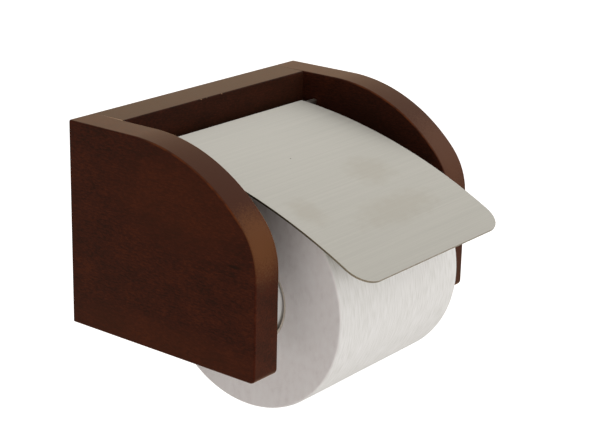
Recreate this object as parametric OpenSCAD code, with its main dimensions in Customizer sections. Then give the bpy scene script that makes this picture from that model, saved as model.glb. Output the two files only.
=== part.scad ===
// Wall-mounted toilet roll holder: a wooden back board and two swept cheeks, a curved steel
// flap on a hinge rod, a sprung telescopic roller, and the paper roll that hangs on it.
// Millimetres. The origin is midway between the two wall screws, on the wall plane. +X is to
// the right as seen from the front, +Y points into the wall and +Z is up.

/* [Housing] */
// Width across the outer faces of the two cheeks
outer_width = 170; // [150:1:200]
// Height of the back board, and of the cheeks where they meet the wall
housing_height = 102.5; // [94:0.5:120]
// Depth of a cheek from the wall to its front edge
housing_depth = 115; // [104:0.5:130]
// Thickness of each cheek
cheek_thickness = 16.5; // [14:0.5:20]
// Thickness of the back board
back_thickness = 19.5; // [14:0.5:22]
// Level stretch of a cheek's top edge, before the sweep begins
top_run = 40.5; // [30:0.5:55]
// Height at which the sweep would meet the front edge
front_rise = 62; // [45:0.5:72]
// Radius that blends the sweep into the front edge
sweep_blend = 35; // [5:1:40]
// Radius of a cheek's lower front corner
toe_radius = 3; // [2.6:0.2:12]
// Round on the outer arrises of the cheeks
outer_arris = 0.9; // [0.8:0.1:2.4]
// Round on the inner arrises of the cheeks and on the back board
inner_arris = 0.8; // [0.4:0.1:2]

/* [Wall fixing] */
// Distance between the two wall screws
screw_spacing = 80; // [50:1:100]
// Height of the wall screws above the bottom of the housing
screw_rise = 58; // [40:1:70]
// Clearance hole for a wall screw
screw_hole_d = 5; // [3.5:0.1:6]
// Diameter of the countersink for the screw head
screw_head_d = 10; // [7:0.5:12]

/* [Joinery] */
// Diameter of the glued dowels between the back board and the cheeks
dowel_d = 8; // [6:0.5:10]
// Length of a dowel
dowel_length = 30; // [24:1:36]
// Length of a dowel that sits in the cheek
dowel_in_cheek = 11; // [8:0.5:12]
// Distance of a dowel from the top or bottom edge
dowel_inset = 20; // [12:0.5:28]
// Chamfer on the ends of a dowel
dowel_chamfer = 1; // [0.4:0.1:1.5]

/* [Flap] */
// Thickness of the flap's steel sheet
sheet_t = 1; // [0.7:0.1:1.5]
// Length of the flap along its curve, from the hinge to the front edge
flap_length = 134.5; // [112:0.5:150]
// Radius of the flap's curve, over its top face
flap_curve = 300; // [220:1:500]
// Radius of the flap's two front corners
flap_corner = 12; // [3:0.5:25]
// Gap between the flap and each cheek
flap_side_gap = 10.5; // [2:0.5:16]
// Diameter of the hinge rod
rod_d = 3; // [2:0.5:5]
// Distance from the back board's face to the hinge rod
hinge_stand_off = 8; // [7:0.5:14]
// Distance of the hinge rod below the top of the housing
hinge_drop = 15.2; // [9:0.1:20]
// Depth of the blind holes in the cheeks for the hinge rod
rod_socket = 8; // [5:0.5:11]
// Gap left between the end of the flap's rolled hem and its sheet
hem_slot = 0.25; // [0.1:0.05:0.6]

/* [Roller] */
// Outer diameter of the roller's sleeve
roller_d = 42.5; // [34:0.5:43]
// Distance from the back board's face to the roller's axis
axis_stand_off = 58.2; // [57:0.1:70]
// Height of the roller's axis above the bottom of the housing
axis_rise = 22.8; // [18:0.1:40]
// Diameter of the spigots at the roller's ends
spigot_d = 8; // [6:0.5:10]
// Depth of the blind sockets in the cheeks for the spigots
socket_depth = 8; // [5:0.5:11]
// Wall of the sleeve and of the plunger
roller_wall = 1.6; // [1.2:0.1:2.2]
// Thickness of the roller's end walls
end_wall = 2.4; // [1.6:0.1:3.5]
// Length of the sleeve from its end wall to its mouth
sleeve_length = 80; // [62:1:95]
// Length of the plunger that is inside the sleeve
plunger_overlap = 32; // [22:1:40]
// Length of the sleeve's mouth bead and of the plunger's tail lip
bead_length = 2.5; // [1.5:0.5:4]
// Height of the lip that keeps the plunger in the sleeve
lip_height = 0.7; // [0.4:0.1:1]
// Length of the posts that centre the spring
post_length = 10; // [5:1:16]
// Chamfer on the roller's edges and spigot tips
roller_chamfer = 0.8; // [0.3:0.1:1.2]

/* [Spring] */
// Mean diameter of the coil
coil_d = 12; // [10:0.5:14]
// Diameter of the spring wire
wire_d = 1.2; // [0.8:0.1:1.4]
// Number of turns between the closed ends
open_turns = 18; // [14:1:20]

/* [Paper roll] */
// Diameter of the paper roll
roll_d = 112; // [90:0.5:113]
// Width of the paper roll
roll_width = 97; // [90:0.5:110]
// How far the paper roll sits to the right of the middle of the housing
roll_shift = 2.5; // [0:0.5:4]
// Bore of the cardboard core
core_bore = 45; // [43.6:0.1:48]
// Wall of the cardboard core
core_wall = 0.9; // [0.6:0.1:2]
// Round on the paper roll's outer edges
paper_edge = 1.2; // [0.4:0.1:3]

/* [Fits] */
// Radial clearance of the spigots in their sockets and of the plunger in the sleeve
running_gap = 0.08; // [0.03:0.01:0.1]
// Radial clearance of the hinge rod in the cheeks
rod_gap = 0.05; // [0.02:0.01:0.1]
// Radial gap between the hinge rod and the hem that is crimped on it
crimp_gap = 0.03; // [0.01:0.01:0.06]
// Radial glue gap round a dowel
glue_gap = 0.05; // [0.02:0.01:0.1]
// Gap at the end of a dowel, of the rod and of a spigot in its hole
end_gap = 0.4; // [0.2:0.1:0.8]
// Gap between a cheek and the roller's shoulder
shoulder_gap = 1; // [0.6:0.1:2]
// Gap between the flap and the roll it rests on, and between the roller and the core it carries
rest_gap = 0.3; // [0.2:0.05:0.5]
// Gap between the spring and its seats and posts
spring_gap = 0.25; // [0.15:0.05:0.4]

/* [Hidden] */

// Facets of a round piece, of the flap's long curve, and of an arris
round_facets = 96;
curve_facets = 720;
arris_steps = 4;
// Degrees between the points of a cheek's outline
sweep_step = 3;
blend_step = 5;
// Rings on each turn of the spring, and sides of its wire
coil_rings = 8;
wire_sides = 6;
// How far a cutting tool runs past the face it cuts
overrun = 1;

// Places in the housing
base_z = -screw_rise;
inner_x = outer_width / 2 - cheek_thickness;
hinge_y = -(back_thickness + hinge_stand_off);
hinge_z = base_z + housing_height - hinge_drop;
axis_y = -(back_thickness + axis_stand_off);
axis_z = base_z + axis_rise;

// The sweep is a circle tangent to the top edge that would meet the front edge at front_rise
sweep_run = housing_depth - top_run;
sweep_drop = housing_height - front_rise;
sweep_r = (sweep_run * sweep_run + sweep_drop * sweep_drop) / (2 * sweep_drop);
blend_run = sweep_run - sweep_blend;
blend_lift = sqrt(pow(sweep_r - sweep_blend, 2) - pow(blend_run, 2));
blend_angle = 180 - atan2(blend_lift, blend_run);

// Flap: the hem is rolled round the rod, and the sheet leaves it at the top
hem_r = rod_d / 2 + crimp_gap + sheet_t;
flap_width = 2 * (inner_x - flap_side_gap);
flap_sweep = flap_length / flap_curve * 180 / PI;

// Roller
sleeve_r = roller_d / 2;
sleeve_bore_r = sleeve_r - roller_wall;
lip_r = sleeve_bore_r - running_gap;
plunger_r = lip_r - lip_height;
mouth_r = plunger_r + running_gap;
plunger_bore_r = plunger_r - roller_wall;
spigot_r = spigot_d / 2;
tip_x = inner_x + socket_depth - end_gap;
shoulder_x = inner_x - shoulder_gap;
seat_x = shoulder_x - end_wall;
mouth_x = sleeve_length - shoulder_x;
tail_x = mouth_x - plunger_overlap;
wire_r = wire_d / 2;
post_r = coil_d / 2 * cos(180 / coil_rings) - wire_r - spring_gap;

// Paper roll: the core hangs on the top of the sleeve
core_r = core_bore / 2 + core_wall;
roll_hang = core_bore / 2 - sleeve_r - rest_gap;
roll_z = axis_z - roll_hang;

// Slope of the flap at its hinge, where its underside rests on the roll. The hinge, the
// centre of the flap's curve and the centre of the roll make a triangle of known sides.
hinge_to_centre = flap_curve - hem_r;
hinge_to_roll = norm([axis_y - hinge_y, roll_z - hinge_z]);
roll_to_centre = flap_curve - sheet_t - roll_d / 2 - rest_gap;
hinge_corner = acos((pow(hinge_to_centre, 2) + pow(hinge_to_roll, 2) - pow(roll_to_centre, 2))
                    / (2 * hinge_to_centre * hinge_to_roll));
rest_slope = 90 + atan2(roll_z - hinge_z, axis_y - hinge_y) + hinge_corner;
echo(rest_slope = rest_slope, roll_z = roll_z, hinge_z = hinge_z, axis_z = axis_z);

// ---- shared shapes ----

// Extrudes a drawing of the YZ plane along X
module yz_prism(from_x, to_x) {
    translate([from_x, 0, 0])
        rotate([90, 0, 90])
            linear_extrude(to_x - from_x)
                children();
}

// Turns a half section, given as [radius, x], about the X axis
module turn_x(centre_y, centre_z) {
    translate([0, centre_y, centre_z])
        rotate([0, 90, 0])
            rotate_extrude($fn = round_facets)
                children();
}

// A round hole or bar along X
module x_bar(from_x, to_x, radius) {
    rotate([0, 90, 0])
        translate([0, 0, from_x])
            cylinder(h = to_x - from_x, r = radius, $fn = round_facets);
}

// ---- housing ----

function arc_points(centre, radius, from_a, to_a, steps) =
    [for (i = [0 : steps])
        let (a = from_a + (to_a - from_a) * i / steps)
        [centre[0] + radius * cos(a), centre[1] + radius * sin(a)]];

// A cheek's outline as [y, z], drawn in by an inset everywhere but at the wall
function cheek_outline(inset) =
    let (
        toe = arc_points([toe_radius - housing_depth, toe_radius], toe_radius - inset,
                         270, 180, ceil(90 / (3 * blend_step))),
        blend = arc_points([sweep_blend - housing_depth,
                            housing_height - sweep_r + blend_lift],
                           sweep_blend - inset, 180, blend_angle,
                           ceil((180 - blend_angle) / blend_step)),
        sweep = arc_points([-top_run, housing_height - sweep_r], sweep_r - inset,
                           blend_angle, 90, ceil((blend_angle - 90) / sweep_step))
    )
    concat([[0, inset]], toe, blend, [for (i = [1 : len(sweep) - 1]) sweep[i]],
           [[0, housing_height - inset]]);

// Stations across the cheek as [x, inset]: a round arris on each side
function arris_stations() =
    concat(
        [for (i = [0 : arris_steps])
            let (a = 90 * i / arris_steps)
            [-outer_width / 2 + outer_arris * (1 - cos(a)), outer_arris * (1 - sin(a))]],
        [for (i = [0 : arris_steps])
            let (a = 90 * (1 - i / arris_steps))
            [-inner_x - inner_arris * (1 - cos(a)), inner_arris * (1 - sin(a))]]);

module cheek_blank() {
    stations = arris_stations();
    rings = [for (s = stations) cheek_outline(s[1])];
    n = len(rings[0]);
    m = len(stations);
    points = [for (j = [0 : m - 1]) for (k = [0 : n - 1])
                  [stations[j][0], rings[j][k][0], rings[j][k][1]]];
    walls = [for (j = [0 : m - 2]) for (k = [0 : n - 1])
                 let (k2 = (k + 1) % n)
                 [j * n + k, j * n + k2, (j + 1) * n + k2, (j + 1) * n + k]];
    outer_face = [for (k = [0 : n - 1]) n - 1 - k];
    inner_face = [for (k = [0 : n - 1]) (m - 1) * n + k];
    polyhedron(points, concat([outer_face, inner_face], walls));
}

// Section of the back board, with its two front arrises rounded
module board_section() {
    translate([inner_arris - back_thickness, 0])
        square([back_thickness - inner_arris, housing_height]);
    translate([-back_thickness, inner_arris])
        square([back_thickness, housing_height - 2 * inner_arris]);
    for (z = [inner_arris, housing_height - inner_arris])
        translate([inner_arris - back_thickness, z])
            circle(inner_arris, $fn = round_facets);
}

// Puts a child at each dowel's axis on one side
module at_dowels() {
    for (z = [dowel_inset, housing_height - dowel_inset])
        translate([0, -back_thickness / 2, base_z + z])
            children();
}

module dowel_holes() {
    at_dowels()
        x_bar(-inner_x - dowel_in_cheek - end_gap,
              -inner_x + dowel_length - dowel_in_cheek + end_gap, dowel_d / 2 + glue_gap);
}

module cheek() {
    difference() {
        translate([0, 0, base_z]) {
            cheek_blank();
            yz_prism(-inner_x - cheek_thickness / 2, -inner_x) board_section();
        }
        dowel_holes();
        translate([0, hinge_y, hinge_z])
            x_bar(-inner_x - rod_socket, overrun - inner_x, rod_d / 2 + rod_gap);
        translate([0, axis_y, axis_z])
            x_bar(-inner_x - socket_depth, overrun - inner_x, spigot_r + running_gap);
    }
}

module left_cheek() {
    color([0.23, 0.12, 0.08]) cheek();
}

module right_cheek() {
    color([0.23, 0.12, 0.08]) mirror([1, 0, 0]) cheek();
}

// Hole and countersink for a wall screw, along Y
module screw_hole() {
    sink = (screw_head_d - screw_hole_d) / 2;
    rotate([90, 0, 0]) {
        translate([0, 0, -overrun])
            cylinder(h = back_thickness + 2 * overrun, d = screw_hole_d, $fn = round_facets);
        translate([0, 0, back_thickness - sink])
            cylinder(h = sink, d1 = screw_hole_d, d2 = screw_head_d, $fn = round_facets);
        translate([0, 0, back_thickness])
            cylinder(h = overrun, d = screw_head_d, $fn = round_facets);
    }
}

module back_board() {
    color([0.2, 0.1, 0.07])
        difference() {
            translate([0, 0, base_z]) yz_prism(-inner_x, inner_x) board_section();
            for (side = [-1, 1])
                translate([side * screw_spacing / 2, 0, 0]) screw_hole();
            dowel_holes();
            mirror([1, 0, 0]) dowel_holes();
        }
}

module dowel_set() {
    from_x = -inner_x - dowel_in_cheek;
    to_x = from_x + dowel_length;
    dowel_r = dowel_d / 2;
    at_dowels()
        turn_x(0, 0)
            polygon([[0, from_x], [dowel_r - dowel_chamfer, from_x],
                     [dowel_r, from_x + dowel_chamfer], [dowel_r, to_x - dowel_chamfer],
                     [dowel_r - dowel_chamfer, to_x], [0, to_x]]);
}

module dowels() {
    color([0.8, 0.66, 0.46]) {
        dowel_set();
        mirror([1, 0, 0]) dowel_set();
    }
}

// ---- flap ----

// Section of the flap with its hinge at the origin and its root level, running towards -Y:
// a sheet on the long curve, and a hem that goes back, under and up to the sheet again
module flap_section() {
    root_lap = sheet_t / 2;
    reach = flap_curve / cos(flap_sweep / 2);
    difference() {
        circle(hem_r, $fn = round_facets);
        circle(hem_r - sheet_t, $fn = round_facets);
        translate([-root_lap - hem_r, hem_r - sheet_t - hem_slot])
            square([hem_r, hem_r]);
    }
    translate([0, hem_r - flap_curve])
        intersection() {
            difference() {
                circle(flap_curve, $fn = curve_facets);
                circle(flap_curve - sheet_t, $fn = curve_facets);
            }
            polygon([[0, 0], [0, reach],
                     [-reach * sin(flap_sweep / 2), reach * cos(flap_sweep / 2)],
                     [-reach * sin(flap_sweep), reach * cos(flap_sweep)]]);
        }
}

// What a front corner loses, square to the sheet at its front edge
module corner_cut() {
    translate([0, 0, -sheet_t - overrun])
        linear_extrude(sheet_t + 2 * overrun)
            difference() {
                translate([-flap_corner, -overrun])
                    square([flap_corner + overrun, flap_corner + overrun]);
                translate([-flap_corner, flap_corner])
                    circle(flap_corner, $fn = round_facets);
            }
}

module flap() {
    front_y = -flap_curve * sin(flap_sweep);
    front_z = hem_r - flap_curve + flap_curve * cos(flap_sweep);
    color([0.72, 0.7, 0.66])
        translate([0, hinge_y, hinge_z])
            rotate([rest_slope, 0, 0])
                difference() {
                    yz_prism(-flap_width / 2, flap_width / 2) flap_section();
                    for (side = [0, 1])
                        mirror([side, 0, 0])
                            translate([flap_width / 2, front_y, front_z])
                                rotate([flap_sweep, 0, 0])
                                    corner_cut();
                }
}

module hinge_rod() {
    end_x = inner_x + rod_socket - end_gap;
    rod_r = rod_d / 2;
    tip = rod_r / 4;
    color([0.75, 0.75, 0.76])
        turn_x(hinge_y, hinge_z)
            polygon([[0, -end_x], [rod_r - tip, -end_x], [rod_r, tip - end_x],
                     [rod_r, end_x - tip], [rod_r - tip, end_x], [0, end_x]]);
}

// ---- roller ----

module roller_sleeve() {
    chamfer = roller_chamfer;
    color([0.93, 0.93, 0.92])
        turn_x(axis_y, axis_z)
            polygon([[0, -tip_x], [spigot_r - chamfer, -tip_x], [spigot_r, chamfer - tip_x],
                     [spigot_r, -shoulder_x], [sleeve_r - chamfer, -shoulder_x],
                     [sleeve_r, chamfer - shoulder_x], [sleeve_r, mouth_x - chamfer / 2],
                     [sleeve_r - chamfer / 2, mouth_x], [mouth_r, mouth_x],
                     [mouth_r, mouth_x - bead_length],
                     [sleeve_bore_r, mouth_x - bead_length - sleeve_bore_r + mouth_r],
                     [sleeve_bore_r, -seat_x], [post_r, -seat_x],
                     [post_r, post_length - chamfer - seat_x],
                     [post_r - chamfer, post_length - seat_x], [0, post_length - seat_x]]);
}

module roller_plunger() {
    chamfer = roller_chamfer;
    color([0.93, 0.93, 0.92])
        turn_x(axis_y, axis_z)
            polygon([[0, tip_x], [spigot_r - chamfer, tip_x], [spigot_r, tip_x - chamfer],
                     [spigot_r, shoulder_x], [plunger_r - chamfer, shoulder_x],
                     [plunger_r, shoulder_x - chamfer],
                     [plunger_r, tail_x + bead_length + lip_height],
                     [lip_r, tail_x + bead_length], [lip_r, tail_x + chamfer],
                     [lip_r - chamfer, tail_x], [plunger_bore_r, tail_x],
                     [plunger_bore_r, seat_x], [post_r, seat_x],
                     [post_r, seat_x - post_length + chamfer],
                     [post_r - chamfer, seat_x - post_length], [0, seat_x - post_length]]);
}

// The spring is one wire: closed end turns, then open turns of even pitch
end_turns = 1.5;
closed_pitch_share = 1.6;
closed_pitch = closed_pitch_share * wire_d;
spring_from = spring_gap + wire_r - seat_x;
spring_length = 2 * (seat_x - spring_gap - wire_r);
all_turns = open_turns + 2 * end_turns;
open_pitch = (spring_length - 2 * end_turns * closed_pitch) / open_turns;
coil_steps = all_turns * coil_rings;

// Distance along the axis after a number of turns
function coil_climb(turn) =
    closed_pitch * min(turn, end_turns)
    + open_pitch * max(0, min(turn - end_turns, open_turns))
    + closed_pitch * max(0, turn - end_turns - open_turns);

coil_path = [for (i = [0 : coil_steps])
    let (a = 360 * i / coil_rings)
    [spring_from + coil_climb(i / coil_rings), coil_d / 2 * cos(a), coil_d / 2 * sin(a)]];

coil_self_gap = min([for (i = [0 : coil_steps - coil_rings / 2 - 1])
                     for (j = [i + coil_rings / 2 + 1 : min(coil_steps, i + 2 * coil_rings)])
                         norm(coil_path[j] - coil_path[i])]) - wire_d;
echo(coil_self_gap = coil_self_gap);

module roller_spring() {
    points = [for (i = [0 : coil_steps])
        let (
            a = 360 * i / coil_rings,
            out = [0, cos(a), sin(a)],
            ahead = coil_path[min(i + 1, coil_steps)] - coil_path[max(i - 1, 0)],
            flat = ahead - out * (ahead * out),
            side = cross(flat / norm(flat), out)
        )
        for (k = [0 : wire_sides - 1])
            coil_path[i] + wire_r * (cos(360 * k / wire_sides) * out
                                     + sin(360 * k / wire_sides) * side)];
    skin = [for (i = [0 : coil_steps - 1]) for (k = [0 : wire_sides - 1])
        let (
            k2 = (k + 1) % wire_sides,
            p = i * wire_sides + k,
            q = i * wire_sides + k2
        )
        for (t = [[p, q + wire_sides, q], [p, p + wire_sides, q + wire_sides]]) t];
    last = coil_steps * wire_sides;
    caps = [for (k = [1 : wire_sides - 2])
        for (t = [[0, k, k + 1], [last, last + k + 1, last + k]]) t];
    color([0.7, 0.7, 0.72])
        translate([0, axis_y, axis_z])
            polyhedron(points, concat(skin, caps));
}

// ---- paper roll ----

module paper_core() {
    color([0.68, 0.6, 0.5])
        turn_x(axis_y, roll_z)
            translate([core_bore / 2, roll_shift - roll_width / 2])
                square([core_wall, roll_width]);
}

module paper_roll() {
    outer_r = roll_d / 2;
    color([0.9, 0.9, 0.88])
        turn_x(axis_y, roll_z)
            translate([0, roll_shift]) {
                translate([core_r, paper_edge - roll_width / 2])
                    square([outer_r - core_r, roll_width - 2 * paper_edge]);
                translate([core_r, -roll_width / 2])
                    square([outer_r - core_r - paper_edge, roll_width]);
                for (side = [-1, 1])
                    translate([outer_r - paper_edge, side * (roll_width / 2 - paper_edge)])
                        circle(paper_edge, $fn = round_facets / 4);
            }
}

back_board();
left_cheek();
right_cheek();
dowels();
flap();
hinge_rod();
roller_sleeve();
roller_plunger();
roller_spring();
paper_core();
paper_roll();
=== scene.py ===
# %% [markdown]
# # A wall-mounted toilet roll holder
# The object is a dark stained wooden housing with a steel flap on a hinge rod, a sprung
# plastic roller and a paper roll. Its shape and sizes come from the CAD frame that is loaded
# here, so nothing has to be fitted. What this lesson adds is the look: softened wood edges,
# a rolled sheet with its hem, a wound roll of tissue, and a material for each real surface.

# %% Load the frame
import math

import bmesh
import bpy
from mathutils import Matrix, Vector


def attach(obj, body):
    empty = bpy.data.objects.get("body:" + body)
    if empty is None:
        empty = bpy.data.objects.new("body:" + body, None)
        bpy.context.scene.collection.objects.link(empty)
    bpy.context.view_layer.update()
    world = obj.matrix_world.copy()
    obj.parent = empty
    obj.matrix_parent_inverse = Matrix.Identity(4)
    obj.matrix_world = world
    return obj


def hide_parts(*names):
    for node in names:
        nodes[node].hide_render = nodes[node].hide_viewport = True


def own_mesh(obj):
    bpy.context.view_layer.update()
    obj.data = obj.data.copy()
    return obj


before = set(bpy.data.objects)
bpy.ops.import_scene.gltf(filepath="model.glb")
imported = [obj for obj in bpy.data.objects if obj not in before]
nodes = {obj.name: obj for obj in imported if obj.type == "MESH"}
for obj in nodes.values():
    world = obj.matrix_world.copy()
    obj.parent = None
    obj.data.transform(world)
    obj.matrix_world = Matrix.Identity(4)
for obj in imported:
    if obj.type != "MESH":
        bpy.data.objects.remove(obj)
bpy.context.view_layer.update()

MM = 0.001

# %% [markdown]
# ## The camera
# The photograph was taken from the left, a little above the holder, with a long lens. The
# place, the direction and the focal length were solved from the edges of the housing, so the
# camera is written down as numbers. It is turned slightly about its own line of sight, as a
# hand-held camera is.

# %% Camera
azimuth, elevation, tilt = (math.radians(a) for a in (-52.116, 18.447, 1.306))
back = Vector((math.sin(azimuth) * math.cos(elevation),
               -math.cos(azimuth) * math.cos(elevation), math.sin(elevation)))
level_right = Vector((0, 0, 1)).cross(back).normalized()
right = math.cos(tilt) * level_right + math.sin(tilt) * back.cross(level_right)
up = back.cross(right)

bpy.ops.object.select_all(action="DESELECT")
bpy.ops.object.camera_add(location=(-0.60745, -0.54537, 0.24916))
camera = bpy.context.object
camera.name = "photo_camera"
camera.rotation_euler = Matrix((right, up, back)).transposed().to_euler()
camera.data.sensor_width = 36
camera.data.lens = 98.615
camera.data.clip_start, camera.data.clip_end = 0.05, 40
bpy.context.scene.camera = camera
bpy.context.scene.view_settings.view_transform = "Standard"
print("camera looks along", [round(-c, 3) for c in back])

# %% [markdown]
# ## The stage
# The holder hangs on a wall, and the photograph shows it cut out on white. So nothing stands
# close to it: a pale floor lies well below and the world is an even pale studio. The camera,
# mirrors and glass see that studio as plain white. Light Path tells those rays from the ones
# that carry light, so a white background needs no extra light on the object, and the floor
# still takes the object's shadow.
#
# The photograph's roll is bright on its front and half as bright on its left end, and its flap
# and its upper wood are bright from above. Three broad lamps give this: one high on the right,
# whose gleam the brushed steel and the wood show, one in front, and a weak one low on the left
# that reaches into the gap beside the roll. Steel would show the last two as glare, which the
# photograph doesn't have, so mirrors don't see them.

# %% Building nodes
def linear(code):
    """Linear RGBA of an sRGB hex colour."""
    parts = [int(code[i:i + 2], 16) / 255 for i in (0, 2, 4)]
    return [c / 12.92 if c <= 0.04045 else ((c + 0.055) / 1.055) ** 2.4 for c in parts] + [1]


def in_use(sockets, key=None):
    """The socket with that name or number, or the first one, of those that are in use."""
    if isinstance(key, int):
        return sockets[key]
    return next(s for s in sockets if s.enabled and key in (None, s.name))


def add(tree, kind, values=None, links=None, grain=None, stops=None, **settings):
    """Adds one node with its settings, the values on its sockets and the links to them.

    A link comes from a socket, or from a node's first output. With grain, the node's pattern
    is that many millimetres long along x, y and z. Stops give a Color Ramp its colours.
    """
    made = tree.nodes.new(kind)
    for name, value in settings.items():
        setattr(made, name, value)
    for key, value in (values or {}).items():
        in_use(made.inputs, key).default_value = value
    for key, source in (links or {}).items():
        if grain and key == "Vector":
            source = add(tree, "ShaderNodeMapping", {"Scale": [1 / size for size in grain]},
                         {"Vector": source})
        if isinstance(source, bpy.types.Node):
            source = in_use(source.outputs)
        tree.links.new(source, in_use(made.inputs, key))
    if stops:
        elements = made.color_ramp.elements
        while len(elements) < len(stops):
            elements.new(0.5)
        for element, (place, code) in zip(elements, stops):
            element.position = place
            element.color = linear(code)
    return made


def seen_directly(tree):
    """1 for rays from the camera, a mirror or glass, and 0 for those that carry light."""
    path = add(tree, "ShaderNodeLightPath")
    shiny = add(tree, "ShaderNodeMath", links={0: path.outputs["Is Glossy Ray"],
                                               1: path.outputs["Is Transmission Ray"]},
                operation="MAXIMUM")
    return add(tree, "ShaderNodeMath", links={0: path.outputs["Is Camera Ray"], 1: shiny},
               operation="MAXIMUM")


# %% World
# The light of the studio as a share of the white that is seen
AMBIENT = 0.48

world = bpy.data.worlds.new("pale_studio")
bpy.context.scene.world = world
world.use_nodes = True
sky = world.node_tree
direct = seen_directly(sky)
strength = add(sky, "ShaderNodeMapRange", {"To Min": AMBIENT, "To Max": 1.0},
               {"Value": direct})
hue = add(sky, "ShaderNodeMix", {"A": linear("FFFAF8"), "B": (1, 1, 1, 1)},
          {"Factor": direct}, data_type="RGBA")
sky.links.new(in_use(hue.outputs), sky.nodes["Background"].inputs["Color"])
sky.links.new(strength.outputs[0], sky.nodes["Background"].inputs["Strength"])
print("made", world.name, "that lights at", AMBIENT, "of the white it shows")

# %% Floor
bpy.ops.object.select_all(action="DESELECT")
bpy.ops.mesh.primitive_plane_add(size=16, location=(0, 0, -0.8))
floor = bpy.context.object
floor.name = "floor"
bpy.ops.object.transform_apply(location=True, rotation=True, scale=True)
floor_paint = bpy.data.materials.new("matt_floor_paint")
floor_paint.use_nodes = True
paint = floor_paint.node_tree
matt = paint.nodes["Principled BSDF"]
matt.inputs["Base Color"].default_value = linear("E6E5E2")
matt.inputs["Roughness"].default_value = 0.9
matt.inputs["Emission Color"].default_value = (1, 1, 1, 1)
lift = add(paint, "ShaderNodeMapRange", {"To Max": 0.8}, {"Value": seen_directly(paint)})
paint.links.new(lift.outputs[0], matt.inputs["Emission Strength"])
floor.data.materials.append(floor_paint)
print("made", floor.name, [round(side, 1) for side in floor.dimensions], "m")

# %% Lamps
HOLDER_MIDDLE = Vector((0, -0.06, 0))

for name, place, size, power, mirrored in (
        ("top_lamp", (1.5, -0.5, 1.3), 2.0, 13.5, True),
        ("front_lamp", (0, -2.2, 0.2), 1.2, 14, False),
        ("side_lamp", (-1.5, -0.5, -0.8), 2.0, 6.3, False)):
    bpy.ops.object.select_all(action="DESELECT")
    bpy.ops.object.light_add(type="AREA", location=place)
    lamp = bpy.context.object
    lamp.name = name
    lamp.data.size, lamp.data.energy = size, power
    lamp.visible_camera, lamp.visible_glossy = False, mirrored
    away = Vector(place) - HOLDER_MIDDLE
    lamp.rotation_euler = away.to_track_quat("Z", "Y").to_euler()
    print(name, "at", place, "m,", power, "W")

# %% [markdown]
# ## Stained wood
# The housing is a fine-grained hardwood such as rubberwood, sanded, stained dark walnut and
# sealed with a thin satin lacquer. The stain hides most of the figure, so what the eye sees
# is a red-brown mottle, a fine speckle of pores that took more or less stain, and faint
# fibres along each board. A strong gloss would turn the side pale, so the specular level is
# low: that leaves the side deep and still lets the top, seen at a low angle, turn grey with
# the light of the studio.
#
# The grain runs along Y in the cheeks and along X in the back board. One function makes both
# and turns the pattern. The sweep is painted a little paler, as painted light where it turns
# up towards the lamps, and along its arrises the stain is rubbed through to orange wood. Both
# places are found from the distance to the sweep's centre, so they follow the curve exactly.
# Where a sweep turns down to the front, an oval mark is limited to the rim between the arrises,
# which is found from the distance to the middle of the cheek's thickness; on the left cheek that
# mark is a painted highlight. The cheeks' inner faces are painted darker, as painted shade
# inside the housing, and the back board is a darker copy of the same wood: painted shade for
# its inner face.

# %% Helpers for finishes
def new_finish(name, **constant):
    """A material, its node tree and its shader, with the shader's constant sockets set."""
    material = bpy.data.materials.new(name)
    material.use_nodes = True
    shader = material.node_tree.nodes["Principled BSDF"]
    for socket, value in constant.items():
        shader.inputs[socket.replace("_", " ")].default_value = value
    return material, material.node_tree, shader


def in_mm(tree, turn=(0, 0, 0), centre=(0, 0, 0), unit=(1, 1, 1)):
    """Object coordinates in millimetres from a centre, turned so that a grain runs along Z."""
    place = add(tree, "ShaderNodeTexCoord").outputs["Object"]
    scaled = add(tree, "ShaderNodeMapping",
                 {"Scale": [1 / MM] * 3, "Location": [-c for c in centre]}, {"Vector": place})
    return add(tree, "ShaderNodeMapping", {"Rotation": turn, "Scale": [1 / u for u in unit]},
               {"Vector": scaled})


def marked(tree, colour, code, strength, *spots, ragged=None, within=None):
    """Mixes a colour into another one inside ovals, each given as its centre and half sizes.

    A noise in ragged breaks up the ovals, and a mask in within limits them.
    """
    shift = 0.5 if ragged else 0
    for centre, sizes in spots:
        reach = add(tree, "ShaderNodeVectorMath",
                    links={0: in_mm(tree, centre=centre, unit=sizes)}, operation="LENGTH")
        if ragged:
            reach = add(tree, "ShaderNodeMath", {1: 1}, {0: ragged, 2: reach},
                        operation="MULTIPLY_ADD")
        mask = add(tree, "ShaderNodeMapRange",
                   {"From Min": 1 + shift, "From Max": 0.4 + shift, "To Max": strength},
                   {"Value": reach})
        if within:
            mask = add(tree, "ShaderNodeMath", links={0: mask, 1: within}, operation="MULTIPLY")
        colour = add(tree, "ShaderNodeMix", {"B": linear(code)}, {"Factor": mask, "A": colour},
                     data_type="RGBA")
    return colour


def wire(tree, shader, **sources):
    """Links the shader's sockets to nodes: underscores in a name stand for spaces."""
    for socket, source in sources.items():
        tree.links.new(in_use(source.outputs), shader.inputs[socket.replace("_", " ")])


# %% The cheek's outline in numbers
# Millimetres from the middle of the two wall screws: the sweep would meet the front edge at
# RISE, and a second arc blends it into that edge
TOP, BOTTOM, FRONT, TOP_RUN, RISE, BLEND_R = 44.5, -58, -115, 40.5, 62, 35
OUTER, INNER, BOARD_Y, TOE_R = -85, -68.5, -19.5, 3
MID_CHEEK, HALF_CHEEK = (OUTER + INNER) / 2, (INNER - OUTER) / 2

run, drop = -FRONT - TOP_RUN, TOP - BOTTOM - RISE
SWEEP_R = (run ** 2 + drop ** 2) / (2 * drop)
SWEEP_Y, SWEEP_Z = -TOP_RUN, TOP - SWEEP_R
blend_lift = math.sqrt((SWEEP_R - BLEND_R) ** 2 - (run - BLEND_R) ** 2)
BLEND_Y, BLEND_Z = FRONT + BLEND_R, SWEEP_Z + blend_lift
SWEEP_DEGREES = math.degrees(math.atan2(run - BLEND_R, blend_lift))
print("sweep radius", round(SWEEP_R, 2), "mm over", round(SWEEP_DEGREES, 2), "degrees")
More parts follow.
